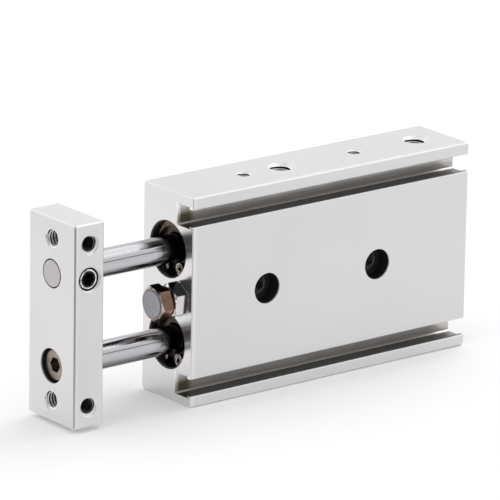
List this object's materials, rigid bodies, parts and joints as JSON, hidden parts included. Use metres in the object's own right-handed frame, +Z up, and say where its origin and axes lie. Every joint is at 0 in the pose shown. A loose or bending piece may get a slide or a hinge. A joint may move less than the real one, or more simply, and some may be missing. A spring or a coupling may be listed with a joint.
{
  "type": "twin rod pneumatic cylinder",
  "caption": "Compact air cylinder with parallel piston rods, an end plate, sensor slots and an adjustable stop; it pushes and guides a load without letting it turn.",
  "frame": {"origin": "centre of the housing's lower narrow face, on which the part stands", "axes": "+X along the rods towards the rear end, so the rods extend towards -X; +Z up along the housing's height; -Y is the large face with the sensor slots"},
  "size_m": [0.1051, 0.017, 0.046],
  "materials": {
    "housing_anodised": "satin clear anodised extrusion",
    "plate_anodised": "satin clear anodised plate",
    "rod_chrome": "hard chromed and ground",
    "cap_screw_steel": "dark phosphated steel",
    "grub_screw_steel": "black oxide steel",
    "port_plug_steel": "plated steel",
    "lock_nut_steel": "bright nickel plated steel",
    "stop_bolt_steel": "bright nickel plated steel",
    "pad_urethane": "grey urethane",
    "cover_aluminium": "bearing alloy, turned",
    "bush_bronze": "oiled bronze",
    "seal_rubber": "black nitrile rubber",
    "retainer_steel": "dark steel washer",
    "spring_ring_steel": "oiled spring steel",
    "cushion_urethane": "amber urethane",
    "piston_aluminium": "turned aluminium",
    "magnet_black": "dark bonded magnet"
  },
  "bodies": {
    "cylinder_body": {"housing": "housing_anodised", "rod_cover_upper": "cover_aluminium", "slide_bush_upper": "bush_bronze", "rod_seal_upper": "seal_rubber", "seal_retainer_upper": "retainer_steel", "cover_o_ring_upper": "seal_rubber", "front_retaining_ring_upper": "spring_ring_steel", "head_cover_upper": "cover_aluminium", "head_o_ring_upper": "seal_rubber", "head_cushion_upper": "cushion_urethane", "rear_retaining_ring_upper": "spring_ring_steel", "rod_cover_lower": "cover_aluminium", "slide_bush_lower": "bush_bronze", "rod_seal_lower": "seal_rubber", "seal_retainer_lower": "retainer_steel", "cover_o_ring_lower": "seal_rubber", "front_retaining_ring_lower": "spring_ring_steel", "head_cover_lower": "cover_aluminium", "head_o_ring_lower": "seal_rubber", "head_cushion_lower": "cushion_urethane", "rear_retaining_ring_lower": "spring_ring_steel", "port_plug_front": "port_plug_steel", "port_plug_rear": "port_plug_steel", "stop_lock_nut": "lock_nut_steel"},
    "rod_unit": {"end_plate": "plate_anodised", "plate_cap_screw": "cap_screw_steel", "plate_set_screw": "grub_screw_steel", "piston_rod_upper": "rod_chrome", "rod_cushion_upper": "cushion_urethane", "piston_upper": "piston_aluminium", "piston_seal_upper": "seal_rubber", "magnet_upper": "magnet_black", "magnet_holder_upper": "piston_aluminium", "piston_rod_lower": "rod_chrome", "rod_cushion_lower": "cushion_urethane", "piston_lower": "piston_aluminium", "piston_seal_lower": "seal_rubber", "magnet_lower": "magnet_black", "magnet_holder_lower": "piston_aluminium"},
    "stop_pad": {"bumper_pad": "pad_urethane"},
    "stop_screw": {"stop_bolt": "stop_bolt_steel"}
  },
  "joints": [
    {"name": "rod_slide", "type": "slide", "parent": "cylinder_body", "child": "rod_unit", "axis": [-1, 0, 0], "range_m": [-0.0155, 0.0045]},
    {"name": "stop_advance", "type": "slide", "parent": "cylinder_body", "child": "stop_pad", "axis": [1, 0, 0], "range_m": [0, 0.0007]},
    {"name": "stop_turn", "type": "hinge", "parent": "stop_pad", "child": "stop_screw", "pos_m": [-0.0375, -0.00355, 0.023], "axis": [1, 0, 0], "range_deg": [0, 360]}
  ],
  "couplings": [
    {"joint": "stop_turn", "follows": "stop_advance", "rad_per_m": 8976}
  ]
}
